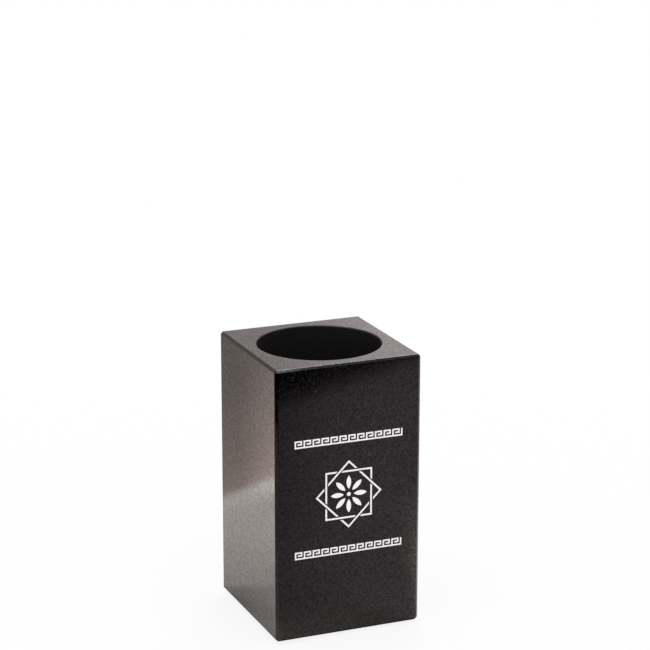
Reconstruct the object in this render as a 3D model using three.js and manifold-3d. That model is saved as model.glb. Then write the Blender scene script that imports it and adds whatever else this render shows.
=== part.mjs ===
// Pen cup: one block of black stone, square in plan, bored from the top,
// standing on four felt pads.
//
// Millimetres, +Z up. The origin is the middle of the plane that the pads rest on,
// and the front face looks along -Y. The block is dressed the way a stone shop does it:
// sawn square, every edge ground at 45 degrees, then core-drilled from the top.
// The drill leaves a round-footed kerf around the ground-down stub of the core.

import * as THREE from "three";
import { mergeVertices } from "three/addons/utils/BufferGeometryUtils.js";
import Module from "manifold-3d";

// Driving dimensions of the block
const boreDiameter = 44.5;
const thinnestWall = 5.25;
const blockHeight = 100;
const baseThickness = 12;

// Ground edges of the block, and the eased mouth of the bore
const topChamfer = 0.9;
const sideChamfer = 1;
const footChamfer = 1;
const mouthChamfer = 0.5;

// What the core drill leaves at the bottom of the bore
const kerfWidth = 3;
const stubChamfer = 0.6;
const stubUpright = 0.9;

// Felt pads under the block
const padDiameter = 12;
const padThickness = 1;
const padInset = 6;
const padEdgeRound = 0.25;

// Fineness of the round surfaces
const boreFacets = 120;
const kerfFacets = 10;
const padFacets = 40;
const padEdgeFacets = 4;

const blockSide = boreDiameter + 2 * thinnestWall;
const boreRadius = boreDiameter / 2;
const padRadius = padDiameter / 2;

const wasm = await Module();
wasm.setup();

const stone = new THREE.MeshStandardMaterial({ color: 0x1b1a1a, roughness: 0.16, metalness: 0 });
const felt = new THREE.MeshStandardMaterial({ color: 0x17181a, roughness: 0.97, metalness: 0 });

// A closed geometry as a solid that can be joined and cut.
function toSolid(geometry) {
  const bare = geometry.clone();
  bare.deleteAttribute("normal");
  bare.deleteAttribute("uv");
  const merged = mergeVertices(bare, 1e-5);
  const index = merged.index.array;
  const kept = [];
  for (let i = 0; i < index.length; i += 3) {
    const [a, b, c] = [index[i], index[i + 1], index[i + 2]];
    if (a !== b && b !== c && c !== a) kept.push(a, b, c);
  }
  const vertProperties = Float32Array.from(merged.attributes.position.array);
  const triVerts = Uint32Array.from(kept);
  return new wasm.Manifold(new wasm.Mesh({ numProp: 3, vertProperties, triVerts }));
}

// The surface of a solid as a geometry with flat-shaded faces.
function toGeometry(solid) {
  const mesh = solid.getMesh();
  const indexed = new THREE.BufferGeometry();
  indexed.setAttribute("position", new THREE.BufferAttribute(Float32Array.from(mesh.vertProperties), 3));
  indexed.setIndex(new THREE.BufferAttribute(Uint32Array.from(mesh.triVerts), 1));
  const geometry = indexed.toNonIndexed();
  geometry.computeVertexNormals();
  return geometry;
}

// A rectangle about the origin with its corners cut at 45 degrees,
// the two upper ones by one chamfer and the two lower ones by another.
function chamferedRectangle(width, height, upper, lower) {
  const x = width / 2;
  const y = height / 2;
  return new THREE.Shape([
    new THREE.Vector2(x, y - upper),
    new THREE.Vector2(x - upper, y),
    new THREE.Vector2(-x + upper, y),
    new THREE.Vector2(-x, y - upper),
    new THREE.Vector2(-x, -y + lower),
    new THREE.Vector2(-x + lower, -y),
    new THREE.Vector2(x - lower, -y),
    new THREE.Vector2(x, -y + lower),
  ]);
}

// A prism of that section along Z, centred on the origin.
function prism(section, length) {
  const body = new THREE.ExtrudeGeometry(section, { depth: length, bevelEnabled: false });
  return body.translate(0, 0, -length / 2);
}

// A profile turned about the Z axis, its arcs cut into arcFacets and its circle into
// roundFacets. Each division of a path gives an arc two segments.
function revolve(profile, arcFacets, roundFacets) {
  return new THREE.LatheGeometry(profile.getPoints(arcFacets / 2), roundFacets).rotateX(Math.PI / 2);
}

// The dressed block, standing on z = 0. Three prisms cross at its middle, each about
// twice as long as the block and chamfered on the edges that run along it, and the
// block is the stone that all three share.
function dressedBlock() {
  const plan = chamferedRectangle(blockSide, blockSide, sideChamfer, sideChamfer);
  const elevation = chamferedRectangle(blockSide, blockHeight, topChamfer, footChamfer);
  const upright = toSolid(prism(plan, 2 * blockHeight));
  const frontToBack = prism(elevation, 2 * blockSide).rotateX(Math.PI / 2);
  const sideToSide = frontToBack.clone().rotateZ(Math.PI / 2);
  const shared = upright.intersect(toSolid(frontToBack)).intersect(toSolid(sideToSide));
  return shared.translate([0, 0, blockHeight / 2]);
}

// The space of the bore as one revolved profile: the ground floor, the edge and upright
// side of the core's stub, the round foot of the kerf, the wall and the eased mouth,
// which runs on past the top of the stone at its own slope.
function boreSpace() {
  const floor = baseThickness;
  const stubRadius = boreRadius - kerfWidth;
  const footRadius = kerfWidth / 2;
  const footCentre = floor - stubChamfer - stubUpright;

  const profile = new THREE.Path();
  profile.moveTo(0, floor);
  profile.lineTo(stubRadius - stubChamfer, floor);
  profile.lineTo(stubRadius, floor - stubChamfer);
  profile.absarc(boreRadius - footRadius, footCentre, footRadius, Math.PI, 2 * Math.PI, false);
  profile.lineTo(boreRadius, blockHeight - mouthChamfer);
  profile.lineTo(boreRadius + 2 * mouthChamfer, blockHeight + mouthChamfer);
  profile.lineTo(0, blockHeight + mouthChamfer);

  return revolve(profile, kerfFacets, boreFacets);
}

// The block rests on the pads.
function stoneBlock() {
  const solid = dressedBlock().subtract(toSolid(boreSpace()));
  const mesh = new THREE.Mesh(toGeometry(solid), stone);
  mesh.name = "stone_block";
  mesh.position.z = padThickness;
  return mesh;
}

// A die-cut felt disc, its lower edge rounded where it meets the desk.
function feltDisc() {
  const profile = new THREE.Path();
  profile.moveTo(0, 0);
  profile.lineTo(padRadius - padEdgeRound, 0);
  profile.absarc(padRadius - padEdgeRound, padEdgeRound, padEdgeRound, -Math.PI / 2, 0, false);
  profile.lineTo(padRadius, padThickness);
  profile.lineTo(0, padThickness);
  return revolve(profile, padEdgeFacets, padFacets);
}

// One pad under each corner, set in from both sides of the block by the same inset.
function feltPads() {
  const reach = blockSide / 2 - padInset - padRadius;
  const corners = [
    ["felt_pad_front_left", -reach, -reach],
    ["felt_pad_front_right", reach, -reach],
    ["felt_pad_rear_left", -reach, reach],
    ["felt_pad_rear_right", reach, reach],
  ];
  return corners.map(([name, x, y]) => {
    const pad = new THREE.Mesh(feltDisc(), felt);
    pad.name = name;
    pad.position.set(x, y, 0);
    return pad;
  });
}

const penCup = new THREE.Group();
penCup.add(stoneBlock(), ...feltPads());

export default penCup;
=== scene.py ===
"""Pen cup: a square block of polished black stone with a core-drilled bore, an engraved front
and four felt pads, on a pale floor in a small light studio."""

import math

import bpy
from mathutils import Matrix, Vector


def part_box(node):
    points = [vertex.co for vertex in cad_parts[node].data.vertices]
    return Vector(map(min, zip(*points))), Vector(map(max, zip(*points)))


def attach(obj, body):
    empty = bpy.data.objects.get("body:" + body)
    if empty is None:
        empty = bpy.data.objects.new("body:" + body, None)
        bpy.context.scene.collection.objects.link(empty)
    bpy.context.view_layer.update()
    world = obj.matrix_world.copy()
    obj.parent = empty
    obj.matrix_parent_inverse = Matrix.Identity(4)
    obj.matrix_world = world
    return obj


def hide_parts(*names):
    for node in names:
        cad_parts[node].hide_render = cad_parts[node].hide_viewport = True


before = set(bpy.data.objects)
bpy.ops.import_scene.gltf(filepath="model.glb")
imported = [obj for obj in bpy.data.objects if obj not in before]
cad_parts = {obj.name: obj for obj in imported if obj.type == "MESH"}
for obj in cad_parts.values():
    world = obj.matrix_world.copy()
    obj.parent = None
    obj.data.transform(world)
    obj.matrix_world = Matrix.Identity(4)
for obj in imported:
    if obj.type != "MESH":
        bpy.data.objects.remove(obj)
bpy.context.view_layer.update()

MM = 0.001

# The block, as the frame has it
block_low, block_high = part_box("stone_block")
block_top = block_high.z
block_foot = block_low.z
block_side = block_high.x
front_face = block_low.y
block_middle = (block_low + block_high) / 2

# Ground edges of the block, the top ones a little narrower, and the angles in degrees above
# which an edge is broken and above which it stays sharp
GROUND_EDGE = 1.0 * MM
TOP_EDGE_SHARE = 0.85
ARRIS = 0.15 * MM
ARRIS_STEPS = 3
ARRIS_ANGLE = 20
SHARP_ANGLE = 30

# The bore and what the core drill leaves at its foot
BORE_RADIUS = 22.25 * MM
BORE_FLOOR = block_foot + 12 * MM
BORE_MOUTH = 0.35 * MM
MOUTH_ARRIS = 0.1 * MM
KERF_WIDTH = 3 * MM
KERF_STEPS = 12
STUB_EDGE = 0.6 * MM
STUB_UPRIGHT = 0.9 * MM
BORE_STEPS = 144
DRILL_RISE = 1 * MM

# The engraving on the front face. The star's height is from the foot of the block, and the
# bands' reach is from the star's middle.
ENGRAVED_DEPTH = 0.12 * MM
ENGRAVER_PROUD = 0.5 * MM
STAR_HEIGHT = 52 * MM
STAR_RADIUS = 12.1 * MM
STAR_CORNERS = 8
STRAND = 0.64 * MM
STRAND_GAP = 0.42 * MM
PETALS = 8
PETAL_ROOT = 1.9 * MM
PETAL_TIP = 6.9 * MM
PETAL_WIDTH = 1.8 * MM
PETAL_STEPS = 9
EYE_RADIUS = 0.75 * MM
EYE_SIDES = 24
KEY_REACH = 20.5 * MM
KEY_CELL = 0.56 * MM
KEY_UNITS = 12
KEY_MARK = "#"
KEY_UNIT = (
    "#####.",
    "#...#.",
    "#.###.",
    "#.....",
    "######",
)

# Felt pads, with the rings of faces on their flat sides from the edge inwards
PAD_NODES = ("felt_pad_front_left", "felt_pad_front_right", "felt_pad_rear_left", "felt_pad_rear_right")
PAD_SHRINK = 0.06 * MM
PAD_SIDES = 64
PAD_EDGE_ROUND = 0.22 * MM
PAD_EDGE_STEPS = 3
PAD_RINGS = (0.6 * MM, 0.9 * MM, 1.3 * MM, 1.3 * MM)
PAD_FUZZ = 0.05 * MM
PAD_FUZZ_SIZE = 0.5 * MM

# Distances under which points are welded and parts touch, and how upright the normal of a level
# face is at least
WELDED = 0.001 * MM
TOUCHING = 0.01 * MM
LEVEL = 0.99

# The camera of the photograph, in degrees and metres, and its lens in millimetres
CAMERA_TURN = -22.59
CAMERA_DIP = 15.72
CAMERA_ROLL = 0.06
CAMERA_LENS = 128.1
CAMERA_SIDE = 2.2 * MM
CAMERA_RISE = 54.3 * MM
CAMERA_DISTANCE = 836.3 * MM


def start_new():
    """Deselects every object, so that the next primitive is the only one selected."""
    bpy.ops.object.select_all(action="DESELECT")


def only(piece):
    """Selects this piece alone and makes it the active one."""
    start_new()
    piece.select_set(True)
    bpy.context.view_layer.objects.active = piece


def open_mesh(everything=True):
    """Opens the active piece for editing, with all of it selected or with its own selection."""
    bpy.ops.object.mode_set(mode="EDIT")
    if everything:
        bpy.ops.mesh.select_all(action="SELECT")


def close_mesh():
    """Ends the editing of the active piece."""
    bpy.ops.object.mode_set(mode="OBJECT")


def settle(piece):
    """Puts the piece's place, turn and scale into its mesh."""
    only(piece)
    bpy.ops.object.transform_apply(location=True, rotation=True, scale=True)
    return piece


def finish_with(piece, kind, **settings):
    """Adds a modifier, sets it and applies it."""
    modifier = piece.modifiers.new(kind.lower(), kind)
    for name, value in settings.items():
        setattr(modifier, name, value)
    only(piece)
    bpy.ops.object.modifier_apply(modifier=modifier.name)


def draw_line(points):
    """A new mesh that is one open line through the points, drawn by extruding its end."""
    start_new()
    bpy.ops.mesh.primitive_plane_add(size=MM, location=(0, 0, 0))
    open_mesh()
    bpy.ops.mesh.merge(type="CENTER")
    bpy.ops.transform.translate(value=points[0])
    for start, end in zip(points, points[1:]):
        step = Vector(end) - Vector(start)
        bpy.ops.mesh.extrude_region_move(TRANSFORM_OT_translate={"value": step})
    close_mesh()
    return bpy.context.object


def fill_outline(points):
    """A flat face inside the outline through the points."""
    piece = draw_line(points)
    open_mesh()
    bpy.ops.mesh.edge_face_add()
    close_mesh()
    return piece


def arc(centre, radius, start, end, steps):
    """Points (across, up) on an arc, from one angle to another in degrees."""
    turns = [math.radians(start + (end - start) * i / steps) for i in range(steps + 1)]
    return [(centre[0] + radius * math.cos(t), centre[1] + radius * math.sin(t)) for t in turns]


def join(pieces):
    """Joins pieces into the first one."""
    only(pieces[0])
    for piece in pieces:
        piece.select_set(True)
    bpy.ops.object.join()
    return pieces[0]


def copy_of(piece):
    """A copy with a mesh of its own."""
    copy = piece.copy()
    copy.data = piece.data.copy()
    bpy.context.collection.objects.link(copy)
    return copy


def turned_copies(piece, count):
    """The piece and its copies round the Z axis."""
    copies = [piece]
    for i in range(1, count):
        copy = copy_of(piece)
        copy.rotation_euler.z = math.tau * i / count
        copies.append(settle(copy))
    return copies


def cut(piece, cutter):
    """Takes the cutter out of the piece. The cut faces wear the cutter's material."""
    finish_with(piece, "BOOLEAN", operation="DIFFERENCE", object=cutter, solver="EXACT",
                material_mode="TRANSFER")
    bpy.data.objects.remove(cutter)


def dressed_block():
    """The block with its edges ground at 45 degrees and every arris just broken."""
    start_new()
    bpy.ops.mesh.primitive_cube_add(size=1, location=block_middle, scale=block_high - block_low)
    block = settle(bpy.context.object)
    open_mesh()
    bpy.ops.transform.edge_bevelweight(value=1)
    bpy.ops.mesh.select_all(action="DESELECT")
    close_mesh()
    for corner in block.data.vertices:
        corner.select = corner.co.z > block_top - GROUND_EDGE
    open_mesh(everything=False)
    bpy.ops.transform.edge_bevelweight(value=TOP_EDGE_SHARE - 1)
    close_mesh()
    finish_with(block, "BEVEL", limit_method="WEIGHT", width=GROUND_EDGE, segments=1)
    finish_with(block, "BEVEL", limit_method="ANGLE", angle_limit=math.radians(ARRIS_ANGLE),
                width=ARRIS, segments=ARRIS_STEPS)
    return block


def drilled_space():
    """The space that the core drill leaves, turned from its profile. Over the block it goes on
    at the mouth's 45 degrees, and both arrises of the mouth are broken in two short steps."""
    mouth = BORE_RADIUS + BORE_MOUTH
    mouth_foot = block_top - BORE_MOUTH
    easing = MOUTH_ARRIS * math.sqrt(0.5)
    off_corner = MOUTH_ARRIS * 0.3
    off_face = MOUTH_ARRIS * 0.1
    stub = BORE_RADIUS - KERF_WIDTH
    kerf_foot = BORE_FLOOR - STUB_EDGE - STUB_UPRIGHT
    profile = [
        (0, block_top + DRILL_RISE),
        (mouth + DRILL_RISE, block_top + DRILL_RISE),
        (mouth + easing, block_top + easing),
        (mouth + off_corner, block_top - off_face),
        (mouth - easing, block_top - easing),
        (BORE_RADIUS + easing, mouth_foot + easing),
        (BORE_RADIUS + off_face, mouth_foot - off_corner),
        (BORE_RADIUS, mouth_foot - MOUTH_ARRIS),
        *arc((BORE_RADIUS - KERF_WIDTH / 2, kerf_foot), KERF_WIDTH / 2, 0, -180, KERF_STEPS),
        (stub, BORE_FLOOR - STUB_EDGE),
        (stub - STUB_EDGE, BORE_FLOOR),
        (0, BORE_FLOOR),
    ]
    space = draw_line([(across, 0, up) for across, up in profile])
    open_mesh()
    bpy.ops.mesh.spin(steps=BORE_STEPS, angle=math.tau, center=(0, 0, 0), axis=(0, 0, 1))
    bpy.ops.mesh.select_all(action="SELECT")
    bpy.ops.mesh.remove_doubles(threshold=WELDED)
    bpy.ops.mesh.normals_make_consistent(inside=False)
    close_mesh()
    return space


def star_strand():
    """One corner of the woven star: it runs over the next strand and ends under the one after."""
    corner = STAR_RADIUS
    half = STRAND * math.sqrt(0.5)
    middle = STAR_RADIUS * math.sqrt(0.5)
    under_far = middle - STRAND / 2 - STRAND_GAP
    under_near = middle + STRAND / 2 + STRAND_GAP
    return fill_outline([
        (corner + half, 0, 0),
        (corner + half - under_far, under_far, 0),
        (corner - half - under_far, under_far, 0),
        (corner - half, 0, 0),
        (under_near, under_near - corner + half, 0),
        (under_near, under_near - corner - half, 0),
    ])


def star_petal():
    """A petal between two equal arcs that meet at its root and its tip."""
    length = PETAL_TIP - PETAL_ROOT
    radius = (length ** 2 + PETAL_WIDTH ** 2) / (4 * PETAL_WIDTH)
    middle = (PETAL_ROOT + PETAL_TIP) / 2
    spread = math.degrees(math.asin(length / 2 / radius))
    drop = radius - PETAL_WIDTH / 2
    upper = arc((middle, -drop), radius, 90 + spread, 90 - spread, PETAL_STEPS)
    lower = arc((middle, drop), radius, -90 + spread, -90 - spread, PETAL_STEPS)
    return fill_outline([(x, y, 0) for x, y in upper + lower[1:-1]])


def star_eye():
    """The dot in the middle of the star."""
    start_new()
    bpy.ops.mesh.primitive_circle_add(vertices=EYE_SIDES, radius=EYE_RADIUS, fill_type="NGON")
    return bpy.context.object


def key_band(height):
    """A band of key pattern, laid cell by cell and merged, with one more stroke at its end."""
    lines = [line * KEY_UNITS + KEY_MARK for line in KEY_UNIT]
    middle_column = (len(lines[0]) - 1) / 2
    middle_row = (len(lines) - 1) / 2
    start_new()
    bpy.ops.mesh.primitive_plane_add(size=KEY_CELL, location=(0, 0, 0))
    band = bpy.context.object
    open_mesh()
    bpy.ops.mesh.delete(type="VERT")
    for row, line in enumerate(lines):
        up = height + (middle_row - row) * KEY_CELL
        for column, mark in enumerate(line):
            if mark == KEY_MARK:
                across = (column - middle_column) * KEY_CELL
                bpy.ops.mesh.primitive_plane_add(size=KEY_CELL, location=(across, up, 0))
    bpy.ops.mesh.select_all(action="SELECT")
    bpy.ops.mesh.remove_doubles(threshold=TOUCHING)
    bpy.ops.mesh.dissolve_limited(angle_limit=math.radians(1))
    close_mesh()
    return band


def engraving():
    """What the engraving takes out of the front face: a woven star with a flower in it,
    between two bands of key pattern. It is drawn lying down and then stood in its place."""
    drawing = join([
        *turned_copies(star_strand(), STAR_CORNERS),
        *turned_copies(star_petal(), PETALS),
        star_eye(),
        key_band(KEY_REACH),
        key_band(-KEY_REACH),
    ])
    thickness = (0, 0, ENGRAVER_PROUD + ENGRAVED_DEPTH)
    open_mesh()
    bpy.ops.mesh.extrude_region_move(TRANSFORM_OT_translate={"value": thickness})
    bpy.ops.mesh.select_all(action="SELECT")
    bpy.ops.mesh.normals_make_consistent(inside=False)
    close_mesh()
    drawing.location = (0, front_face + ENGRAVED_DEPTH, block_foot + STAR_HEIGHT)
    drawing.rotation_euler.x = math.radians(90)
    return settle(drawing)


# Sockets of a Mix node that mixes colours
MIX_SHARE = 0
MIX_FIRST = 6
MIX_SECOND = 7
MIX_RESULT = 2

# A change that starts and ends gently
SOFT = "SMOOTHSTEP"

# The scale that gives a place in millimetres
TO_MILLIMETRES = (1 / MM, 1 / MM, 1 / MM)


def feed(tree, socket, value):
    """Sets a socket to a number or colour, or links another node's socket to it."""
    if isinstance(value, bpy.types.NodeSocket):
        tree.links.new(value, socket)
    else:
        socket.default_value = value


def feed_all(tree, node, inputs):
    """Feeds several sockets of a node, by their names or places."""
    for name, value in inputs.items():
        feed(tree, node.inputs[name], value)


def add(tree, kind, inputs=None, **settings):
    """Adds a node, with its settings and what its inputs are fed."""
    node = tree.nodes.new("ShaderNode" + kind)
    for name, value in settings.items():
        setattr(node, name, value)
    feed_all(tree, node, inputs or {})
    return node


def paint(*colour):
    """A colour as a socket takes it."""
    return (*colour, 1)


def grey(level):
    """A grey as a socket takes it."""
    return paint(level, level, level)


def graded(tree, value, span, result=(0, 1), curve="LINEAR"):
    """A value whose span is stretched to the span of the result."""
    inputs = {"Value": value, "From Min": span[0], "From Max": span[1], "To Min": result[0],
              "To Max": result[1]}
    return add(tree, "MapRange", inputs, interpolation_type=curve).outputs["Result"]


def mixed(tree, share, first, second, way="MIX"):
    """A colour between two, by a share from 0 to 1."""
    node = add(tree, "Mix", data_type="RGBA", blend_type=way)
    feed_all(tree, node, {MIX_SHARE: share, MIX_FIRST: first, MIX_SECOND: second})
    return node.outputs[MIX_RESULT]


def turning(tree, value, span, first, second, curve="LINEAR"):
    """A colour that turns from the first to the second while a value crosses its span."""
    return mixed(tree, graded(tree, value, span, curve=curve), first, second)


def tinted(tree, share, colour, tint):
    """A colour multiplied by a tint, as far as the share says."""
    return mixed(tree, share, colour, tint, "MULTIPLY")


def worked(tree, operation, first, second):
    """The result of a sum on two values."""
    node = add(tree, "Math", {0: first, 1: second}, operation=operation)
    return node.outputs["Value"]


def along(tree, place, direction):
    """How far a place lies in a direction."""
    node = add(tree, "VectorMath", {0: place, 1: direction}, operation="DOT_PRODUCT")
    return node.outputs["Value"]


def noise(tree, spot, scale, detail):
    """Soft random clouds."""
    return add(tree, "TexNoise", {"Vector": spot, "Scale": scale, "Detail": detail}).outputs["Fac"]


def moved(tree, spot, **changes):
    """A place with another origin or another scale."""
    inputs = {name.capitalize(): value for name, value in changes.items()}
    return add(tree, "Mapping", {"Vector": spot, **inputs}).outputs["Vector"]


def relief(tree, height, depth):
    """The normal of a surface with this relief, its depth in metres."""
    return add(tree, "Bump", {"Height": height, "Distance": depth}).outputs["Normal"]


def new_finish(name):
    """A material with its shader, and the place on the piece in millimetres."""
    material = bpy.data.materials.new(name)
    material.use_nodes = True
    tree = material.node_tree
    spot = add(tree, "TexCoord").outputs["Object"]
    return material, tree, tree.nodes["Principled BSDF"], moved(tree, spot, scale=TO_MILLIMETRES)


def polished_stone():
    """Fine-grained black stone with a polish. Close crystals: some glassy, some dark grey, and
    half of them opaque ones that shine a little more. They take the polish and the wax
    unevenly, and there are a few pale flecks."""
    material, tree, shader, spot = new_finish("polished_stone")
    glassy = paint(0.0006, 0.0005, 0.0006)
    dark_grey = paint(0.012, 0.0105, 0.0115)
    shiny_grey = paint(0.098, 0.094, 0.094)
    pale_grey = paint(0.06, 0.057, 0.057)
    clouds = noise(tree, spot, scale=0.06, detail=3.0)
    crystals = add(tree, "TexVoronoi", {"Vector": spot, "Scale": 2.2})
    crystal = add(tree, "SeparateColor", {"Color": crystals.outputs["Color"]}).outputs
    opaque = worked(tree, "GREATER_THAN", crystal["Red"], 0.5)
    greyness = graded(tree, crystal["Blue"], (0.5, 1.0))
    flecks = add(tree, "TexVoronoi", {"Vector": spot, "Scale": 0.4})
    fleck = add(tree, "SeparateColor", {"Color": flecks.outputs["Color"]}).outputs
    chosen = graded(tree, fleck["Green"], (0.99, 0.995))
    near = graded(tree, flecks.outputs["Distance"], (0.07, 0.15), (1, 0))
    flecked = worked(tree, "MULTIPLY", chosen, near)
    unflecked = worked(tree, "SUBTRACT", 1.0, flecked)
    colour = mixed(tree, greyness, glassy, dark_grey)
    colour = mixed(tree, opaque, colour, shiny_grey)
    colour = mixed(tree, flecked, colour, pale_grey)
    polish = graded(tree, clouds, (0.3, 0.7), (0.07, 0.1))
    softer = graded(tree, crystal["Blue"], (0.5, 1.0), (0, 0.04))
    feed_all(tree, shader, {
        "Base Color": colour,
        "Metallic": worked(tree, "MULTIPLY", opaque, unflecked),
        "Roughness": worked(tree, "ADD", polish, softer),
        "Normal": relief(tree, clouds, depth=0.004 * MM),
        "IOR": 1.58,
        "Coat Weight": graded(tree, crystal["Green"], (0.35, 0.65), (0, 0.58)),
        "Coat Roughness": 0.08,
        "Coat IOR": 1.4,
    })
    return material


def drilled_stone():
    """The wall of the bore, as the core drill leaves it once it is honed: fine rings."""
    material, tree, shader, spot = new_finish("drilled_stone")
    black = paint(0.003, 0.0025, 0.0026)
    dark_grey = paint(0.016, 0.014, 0.014)
    rings = add(tree, "TexWave", {"Vector": spot, "Scale": 0.35, "Distortion": 1.2, "Detail": 3.0,
                                  "Detail Scale": 0.4}, bands_direction="Z").outputs["Fac"]
    grains = noise(tree, spot, scale=2.0, detail=4.0)
    height = worked(tree, "MULTIPLY", rings, grains)
    feed_all(tree, shader, {
        "Base Color": mixed(tree, grains, black, dark_grey),
        "Roughness": graded(tree, rings, (0, 1), (0.34, 0.48)),
        "Normal": relief(tree, height, depth=0.02 * MM),
        "IOR": 1.6,
    })
    return material


def frosted_stone():
    """The engraved lines: blasted stone, filled off-white."""
    material, tree, shader, spot = new_finish("frosted_stone")
    off_white = paint(0.88, 0.88, 0.87)
    white = paint(0.99, 0.99, 0.98)
    thin_white = paint(0.74, 0.74, 0.73)
    grains = noise(tree, spot, scale=6.0, detail=3.0)
    patches = graded(tree, noise(tree, spot, scale=0.7, detail=2.0), (0.3, 0.7), (0, 0.2))
    colour = turning(tree, grains, (0.35, 0.65), off_white, white)
    feed_all(tree, shader, {
        "Base Color": mixed(tree, patches, colour, thin_white),
        "Roughness": 0.9,
        "Normal": relief(tree, grains, depth=0.03 * MM),
    })
    return material


def sawn_stone():
    """The foot of the block: sawn and rubbed flat, never polished. The saw's wide arcs have
    their middle far outside the block."""
    material, tree, shader, spot = new_finish("sawn_stone")
    black = paint(0.012, 0.011, 0.011)
    dark_grey = paint(0.045, 0.041, 0.040)
    from_saw = moved(tree, spot, location=(-170, 60, 0))
    arcs = add(tree, "TexWave", {"Vector": from_saw, "Scale": 0.16, "Distortion": 0.8, "Detail": 2.0},
               wave_type="RINGS", rings_direction="Z").outputs["Fac"]
    grains = noise(tree, spot, scale=1.6, detail=5.0)
    height = worked(tree, "ADD", arcs, grains)
    feed_all(tree, shader, {
        "Base Color": mixed(tree, grains, black, dark_grey),
        "Roughness": graded(tree, grains, (0.3, 0.7), (0.5, 0.68)),
        "Normal": relief(tree, height, depth=0.02 * MM),
        "IOR": 1.6,
    })
    return material


def black_felt():
    """Needled wool felt: fibres matted in two directions, matte, with a faint bloom."""
    material, tree, shader, spot = new_finish("black_felt")
    black = paint(0.006, 0.006, 0.0065)
    dark_grey = paint(0.028, 0.028, 0.030)
    bend = add(tree, "TexNoise", {"Vector": spot, "Scale": 1.4, "Detail": 2.0}).outputs["Color"]
    spun = mixed(tree, 0.35, spot, bend, "ADD")
    lengthwise = noise(tree, moved(tree, spun, scale=(9, 1.6, 6)), scale=1.0, detail=3.0)
    crosswise = noise(tree, moved(tree, spun, scale=(1.8, 8, 6)), scale=1.0, detail=3.0)
    matted = worked(tree, "MAXIMUM", lengthwise, crosswise)
    feed_all(tree, shader, {
        "Base Color": turning(tree, matted, (0.45, 0.72), black, dark_grey),
        "Roughness": 0.95,
        "Normal": relief(tree, matted, depth=0.12 * MM),
        "Sheen Weight": 0.25,
        "Sheen Roughness": 0.6,
    })
    return material


def stone_cup():
    """The block, drilled and engraved, with its foot left sawn."""
    cup = dressed_block()
    cup.data.materials.append(polished_stone())
    bore = drilled_space()
    bore.data.materials.append(drilled_stone())
    cut(cup, bore)
    marks = engraving()
    marks.data.materials.append(frosted_stone())
    cut(cup, marks)
    cup.data.materials.append(sawn_stone())
    sawn = len(cup.data.materials) - 1
    for face in cup.data.polygons:
        if face.normal.z < -LEVEL and face.center.z < block_foot + TOUCHING:
            face.material_index = sawn
    cup.name = "stone_cup"
    cup.data.name = cup.name
    only(cup)
    bpy.ops.object.shade_smooth_by_angle(angle=math.radians(SHARP_ANGLE))
    finish_with(cup, "WEIGHTED_NORMAL", keep_sharp=True)
    return cup


def felt_disc():
    """A die-cut felt disc, its edges worn round and its surface matted."""
    low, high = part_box(PAD_NODES[0])
    thick = high.z - low.z
    radius = (high.x - low.x) / 2 - PAD_SHRINK
    start_new()
    bpy.ops.mesh.primitive_cylinder_add(vertices=PAD_SIDES, radius=radius, depth=thick,
                                        location=(0, 0, thick / 2), end_fill_type="NGON")
    disc = settle(bpy.context.object)
    open_mesh()
    bpy.ops.mesh.bevel(offset=PAD_EDGE_ROUND, segments=PAD_EDGE_STEPS, profile=0.5)
    bpy.ops.mesh.select_all(action="DESELECT")
    close_mesh()
    for face in disc.data.polygons:
        face.select = abs(face.normal.z) > LEVEL
    open_mesh(everything=False)
    for ring in PAD_RINGS:
        bpy.ops.mesh.inset(thickness=ring, use_even_offset=False)
    bpy.ops.mesh.poke()
    close_mesh()
    finish_with(disc, "SUBSURF", levels=1, render_levels=1)
    fuzz = bpy.data.textures.new("felt_fuzz", "CLOUDS")
    fuzz.noise_scale = PAD_FUZZ_SIZE
    fuzz.noise_depth = 2
    finish_with(disc, "DISPLACE", texture=fuzz, strength=PAD_FUZZ, mid_level=1.0)
    only(disc)
    bpy.ops.object.shade_smooth()
    return disc


def felt_pads():
    """One disc at each pad's place."""
    disc = felt_disc()
    disc.data.materials.append(black_felt())
    for node in PAD_NODES:
        low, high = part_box(node)
        pad = copy_of(disc)
        pad.location = ((low.x + high.x) / 2, (low.y + high.y) / 2, low.z)
        pad.name = node.replace("felt_pad", "felt_disc")
        pad.data.name = pad.name
        settle(pad)
        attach(pad, "root")
        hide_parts(node)
    bpy.data.objects.remove(disc)


# The floor, in metres. The camera sees its white sheet mixed with plain white, by the lift's
# share near the cup and wholly beyond the fade.
FLOOR_SIZE = 8
FLOOR_WHITE = 0.88
FLOOR_FADE = (100 * MM, 300 * MM)
FLOOR_LIFT = 0.86

# What the polish mirrors of the floor is painted light: a lit sheet with two parallel edges,
# painted into the floor's colour for glossy rays only. These are the ways across and along the
# sheet, and a sideways one: all that one upright line of the front face mirrors lies equally far
# along it. In each span the change goes from the first place to the second.
SHEET_ACROSS = (0.452, 0.892, 0)
SHEET_ALONG = (0.892, -0.452, 0)
SHEET_SIDEWAYS = (1, 0.416, 0)
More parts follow.
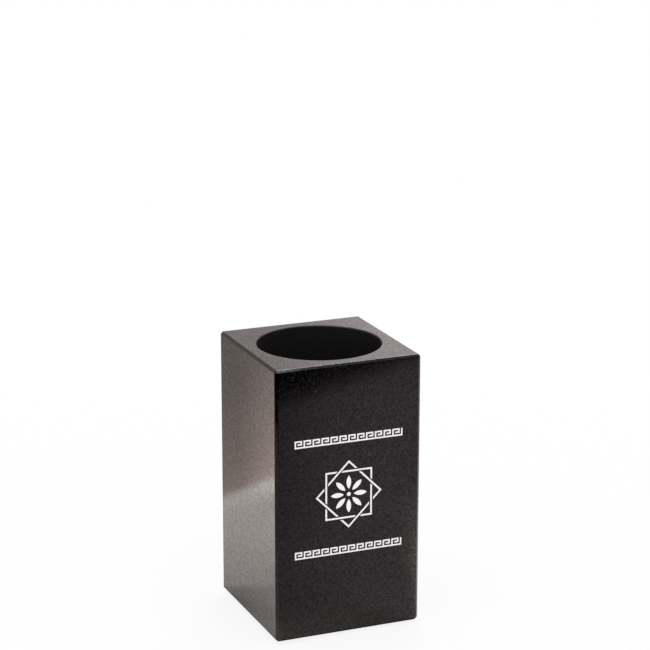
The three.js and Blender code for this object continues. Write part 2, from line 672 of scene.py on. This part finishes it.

# The painted light of the sheet in front of the cup: dimmest far off to the left, brightest close by on
# the right
FRONT_FAR_LEFT = paint(0.188, 0.156, 0.164)
FRONT_NEAR_LEFT = paint(0.275, 0.232, 0.241)
FRONT_MIDDLE = paint(0.30, 0.254, 0.264)
FRONT_RIGHT = paint(0.345, 0.296, 0.306)
FRONT_CORNER_LIGHT = paint(0.95, 0.83, 0.78)
FRONT_FAR_TINT = grey(0.92)
FAR_TO_NEAR_LEFT = (-125 * MM, -55 * MM)
LEFT_TO_MIDDLE = (-42 * MM, -20 * MM)
MIDDLE_TO_RIGHT = (-20 * MM, 10 * MM)
NEAR_TO_FAR_TINT = (-50 * MM, -110 * MM)
INTO_CORNER_SIDEWAYS = (12 * MM, 19.5 * MM)
INTO_CORNER_ACROSS = (-120 * MM, -12 * MM)

# The painted light of the sheet behind the cup, brightest along the lip of its rear edge
REAR_SHEET_LIGHT = paint(1.07, 0.992, 0.937)
REAR_LIP_LIGHT = paint(1.225, 1.14, 1.078)
SHEET_TO_LIP = (65 * MM, 77 * MM)
FRONT_TO_REAR_ALONG = (80 * MM, -115 * MM)
FRONT_TO_REAR_ACROSS = (-62 * MM, -30 * MM)

# The sheet's two edges and what lies beyond them: painted shade beyond the front edge, dimmer painted
# light beyond the rear one
FRONT_EDGE = (-225 * MM, -217 * MM)
SHADE_BEYOND_FRONT_EDGE = paint(0.004, 0.003, 0.006)
REAR_EDGE = (78 * MM, 86 * MM)
BEYOND_REAR_NEAR = paint(0.577, 0.479, 0.428)
BEYOND_REAR_FAR = paint(0.40, 0.337, 0.302)
BEYOND_REAR_TINT = grey(1.13)
NEAR_TO_FAR_BEYOND = (87 * MM, 190 * MM)
INTO_BEYOND_TINT = (108 * MM, 86 * MM)

# The floor to the left, out of the cup's shade, gets more light, most of all at the rear
OPEN_WAY = (-0.935, -0.355, 0)
SHADE_TO_OPEN = (20 * MM, 40 * MM)
OPEN_FRONT = grey(1)
OPEN_MIDDLE = grey(1.1)
OPEN_REAR = grey(1.85)
OPEN_FRONT_TO_MIDDLE = (0, 30 * MM)
OPEN_MIDDLE_TO_REAR = (60 * MM, 90 * MM)

# Going in towards the foot of the left face, the floor is first shaded, least so farther left,
# then brighter, and then it fades
FOOT_WAY = (-0.342, 0.94, 0)
LEFTWARD = (-1, 0, 0)
FOOT_SHADE = (42 * MM, 37 * MM)
FOOT_SHADE_LEVELS = (0.76, 0.88)
FOOT_SHADE_EASES = (36 * MM, 46 * MM)
FOOT_LIFT = (34 * MM, 0)
FOOT_LIFT_LEVEL = 1.75
FOOT_FADE = (0, -28 * MM)
FOOT_FADE_LEVEL = 0.75
MIDDLE_TO_LEFT_SIDE = (0, 27 * MM)

# Under the cup no light gets in
UNDER_CUP = paint(0.08, 0.07, 0.07)
CUP_RIM = (block_side - 1.5 * MM, block_side)


def cleared_tree(owner):
    """The node tree of a material or world, with nothing in it."""
    owner.use_nodes = True
    owner.node_tree.nodes.clear()
    return owner.node_tree


def painted_light_in_front(tree, across, sideways):
    """The painted light of the sheet in front of the cup, for the polish."""
    left = turning(tree, across, FAR_TO_NEAR_LEFT, FRONT_FAR_LEFT, FRONT_NEAR_LEFT)
    front = turning(tree, sideways, LEFT_TO_MIDDLE, left, FRONT_MIDDLE)
    front = turning(tree, sideways, MIDDLE_TO_RIGHT, front, FRONT_RIGHT)
    front = tinted(tree, graded(tree, across, NEAR_TO_FAR_TINT), front, FRONT_FAR_TINT)
    corner = worked(tree, "MULTIPLY", graded(tree, sideways, INTO_CORNER_SIDEWAYS, curve=SOFT),
                    graded(tree, across, INTO_CORNER_ACROSS, curve=SOFT))
    return mixed(tree, corner, front, FRONT_CORNER_LIGHT)


def painted_sheet_light_and_shade(tree, spot, across):
    """The painted light of the sheet, and the painted shade and dimmer light beyond its edges, for the
    polish.
    """
    lengthwise = along(tree, spot, SHEET_ALONG)
    front = painted_light_in_front(tree, across, along(tree, spot, SHEET_SIDEWAYS))
    rear = turning(tree, across, SHEET_TO_LIP, REAR_SHEET_LIGHT, REAR_LIP_LIGHT, SOFT)
    to_rear = worked(tree, "MULTIPLY", graded(tree, lengthwise, FRONT_TO_REAR_ALONG, curve=SOFT),
                     graded(tree, across, FRONT_TO_REAR_ACROSS, curve=SOFT))
    sheet = mixed(tree, to_rear, front, rear)
    sheet = turning(tree, across, FRONT_EDGE, SHADE_BEYOND_FRONT_EDGE, sheet, SOFT)
    beyond = turning(tree, across, NEAR_TO_FAR_BEYOND, BEYOND_REAR_NEAR, BEYOND_REAR_FAR)
    beyond = tinted(tree, graded(tree, across, INTO_BEYOND_TINT), beyond, BEYOND_REAR_TINT)
    return turning(tree, across, REAR_EDGE, sheet, beyond, SOFT)


def open_light(tree, across):
    """How much brighter the open floor to the left is."""
    level = turning(tree, across, OPEN_MIDDLE_TO_REAR, OPEN_MIDDLE, OPEN_REAR)
    return turning(tree, across, OPEN_FRONT_TO_MIDDLE, OPEN_FRONT, level)


def foot_light(tree, spot, leftward):
    """How bright the floor is in towards the left foot: shade, then light, then a slow fade."""
    off_foot = along(tree, spot, FOOT_WAY)
    deepest = graded(tree, leftward, FOOT_SHADE_EASES, FOOT_SHADE_LEVELS)
    shade = graded(tree, off_foot, FOOT_SHADE, (1, deepest), SOFT)
    lift = graded(tree, off_foot, FOOT_LIFT, (1, FOOT_LIFT_LEVEL))
    fade = graded(tree, off_foot, FOOT_FADE, (1, FOOT_FADE_LEVEL))
    return worked(tree, "MULTIPLY", shade, worked(tree, "MULTIPLY", lift, fade))


def painted_floor_reflection(tree, spot):
    """All that the polish mirrors of the floor: painted light and painted shade."""
    across = along(tree, spot, SHEET_ACROSS)
    colour = painted_sheet_light_and_shade(tree, spot, across)
    unshaded = graded(tree, along(tree, spot, OPEN_WAY), SHADE_TO_OPEN, curve=SOFT)
    colour = tinted(tree, unshaded, colour, open_light(tree, across))
    leftward = along(tree, spot, LEFTWARD)
    left_side = graded(tree, leftward, MIDDLE_TO_LEFT_SIDE, curve=SOFT)
    colour = tinted(tree, left_side, colour, foot_light(tree, spot, leftward))
    outward = add(tree, "VectorMath", {0: spot}, operation="ABSOLUTE").outputs["Vector"]
    outward = add(tree, "SeparateXYZ", {"Vector": outward}).outputs
    outward = worked(tree, "MAXIMUM", outward["X"], outward["Y"])
    return turning(tree, outward, CUP_RIM, UNDER_CUP, colour)


def studio_floor():
    """The pale floor. Far from the cup it fades to plain white, and it keeps the soft shadow."""
    start_new()
    bpy.ops.mesh.primitive_plane_add(size=FLOOR_SIZE)
    floor = bpy.context.object
    floor.name = "floor"
    material = bpy.data.materials.new("floor_sheet")
    tree = cleared_tree(material)
    spot = add(tree, "TexCoord").outputs["Object"]
    rays = add(tree, "LightPath").outputs
    # For glossy rays the floor wears painted light and painted shade instead of its plain white
    colour = mixed(tree, rays["Is Glossy Ray"], grey(FLOOR_WHITE), painted_floor_reflection(tree, spot))
    sheet = add(tree, "BsdfDiffuse", {"Color": colour}).outputs["BSDF"]
    white = add(tree, "Emission", {"Color": grey(1), "Strength": 1.0}).outputs["Emission"]
    distance = add(tree, "VectorMath", {0: spot}, operation="LENGTH").outputs["Value"]
    fade = graded(tree, distance, FLOOR_FADE, (FLOOR_LIFT, 1), SOFT)
    share = worked(tree, "MULTIPLY", fade, rays["Is Camera Ray"])
    shade = add(tree, "MixShader", {0: share, 1: sheet, 2: white}).outputs["Shader"]
    add(tree, "OutputMaterial", {"Surface": shade})
    floor.data.materials.append(material)


def facing(place, aim, side):
    """The turn with which a thing at this place has this side towards its aim."""
    return (Vector(aim) - Vector(place)).to_track_quat(side, "Y").to_euler()


def mirror_card(name, place, aim, size):
    """A glowing card that only the polish mirrors. Returns its node tree and its glow."""
    start_new()
    bpy.ops.mesh.primitive_plane_add(size=1, location=place)
    card = bpy.context.object
    card.name = name
    card.rotation_euler = facing(place, aim, "Z")
    card.scale = (*size, 1)
    settle(card)
    material = bpy.data.materials.new(name)
    tree = cleared_tree(material)
    glow = add(tree, "Emission")
    add(tree, "OutputMaterial", {"Surface": glow.outputs["Emission"]})
    card.data.materials.append(material)
    card.visible_camera = False
    card.visible_diffuse = False
    card.visible_shadow = False
    return tree, glow


def rear_card():
    """A card behind the cup, brighter towards the right, which the top face mirrors."""
    tree, glow = mirror_card("rear_card", place=(0, 0.4, 0.3), aim=(0, 0, 0.3), size=(1.2, 0.6))
    left = paint(0.385, 0.35, 0.33)
    middle = paint(0.61, 0.565, 0.55)
    right = paint(0.94, 0.87, 0.86)
    left_to_middle = (-150 * MM, 140 * MM)
    middle_to_right = (140 * MM, 200 * MM)
    rightward = along(tree, add(tree, "TexCoord").outputs["Object"], (1, 0, 0))
    colour = turning(tree, rightward, left_to_middle, left, middle)
    colour = turning(tree, rightward, middle_to_right, colour, right)
    feed_all(tree, glow, {"Color": colour})


def high_card():
    """A plain bright strip, which the broken arrises pick up as a thin line."""
    tree, glow = mirror_card("high_card", place=(0.26, 0.36, 0.65), aim=(0, 0, 0.1), size=(0.5, 0.3))
    feed_all(tree, glow, {"Color": paint(7, 7.1, 7.2)})


def studio_world():
    """Even light from all round; white behind the cup; a softer grade in the polish."""
    world = bpy.data.worlds.new("studio")
    bpy.context.scene.world = world
    tree = cleared_tree(world)
    even_light = grey(0.7)
    mirrored_low = paint(0.45, 0.41, 0.39)
    mirrored_high = paint(0.27, 0.27, 0.285)
    mirrored_in_front = paint(0.05, 0.05, 0.055)
    rays = add(tree, "LightPath").outputs
    way = add(tree, "TexCoord").outputs["Generated"]
    height = along(tree, way, (0, 0, 1))
    forward = along(tree, way, (0, -1, 0))
    mirrored = turning(tree, height, (0.3, 0.8), mirrored_low, mirrored_high)
    mirrored = turning(tree, forward, (0.3, 0.6), mirrored, mirrored_in_front)
    colour = mixed(tree, rays["Is Glossy Ray"], even_light, mirrored)
    colour = mixed(tree, rays["Is Camera Ray"], colour, grey(1))
    sky = add(tree, "Background", {"Color": colour, "Strength": 1.0}).outputs["Background"]
    add(tree, "OutputWorld", {"Surface": sky})


def softbox(name, place, aim, size, brightness):
    """A rectangular lamp. Its brightness is what a mirror shows of it, 1 for white."""
    start_new()
    bpy.ops.object.light_add(type="AREA", location=place)
    lamp = bpy.context.object
    lamp.name = name
    lamp.rotation_euler = facing(place, aim, "-Z")
    lamp.data.shape = "RECTANGLE"
    lamp.data.size = size[0]
    lamp.data.size_y = size[1]
    lamp.data.energy = brightness * math.pi * size[0] * size[1]
    lamp.visible_camera = False
    return lamp


def softboxes():
    """A wide lamp overhead, a small bright one high behind, and one in front that the polish
    doesn't mirror."""
    softbox("overhead_softbox", place=(-0.12, -0.10, 0.5), aim=(-0.12, -0.10, 0),
            size=(0.52, 0.5), brightness=1.1)
    softbox("rear_softbox", place=(0.21, 0.39, 0.65), aim=(0, 0, 0.1),
            size=(0.25, 0.15), brightness=10.0)
    front = softbox("front_softbox", place=(0.30, -0.90, 0.45), aim=(0, 0, 0.05),
                    size=(0.8, 0.5), brightness=1.4)
    front.visible_glossy = False


def set_camera():
    """The camera of the photograph."""
    turn = Matrix.Rotation(math.radians(CAMERA_TURN), 4, "Z")
    dip = Matrix.Rotation(math.radians(90 - CAMERA_DIP), 4, "X")
    roll = Matrix.Rotation(math.radians(CAMERA_ROLL), 4, "Z")
    place = Matrix.Translation((CAMERA_SIDE, CAMERA_RISE, CAMERA_DISTANCE))
    camera = bpy.data.objects.new("camera", bpy.data.cameras.new("camera"))
    bpy.context.collection.objects.link(camera)
    camera.matrix_world = Matrix.Translation(block_middle) @ turn @ dip @ roll @ place
    camera.data.lens = CAMERA_LENS
    camera.data.clip_start = 0.05
    camera.data.clip_end = 20
    bpy.context.scene.camera = camera


set_camera()

cup = stone_cup()
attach(cup, "root")
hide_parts("stone_block")
felt_pads()

studio_floor()
rear_card()
high_card()
studio_world()
softboxes()

bpy.context.scene.view_settings.view_transform = "Standard"
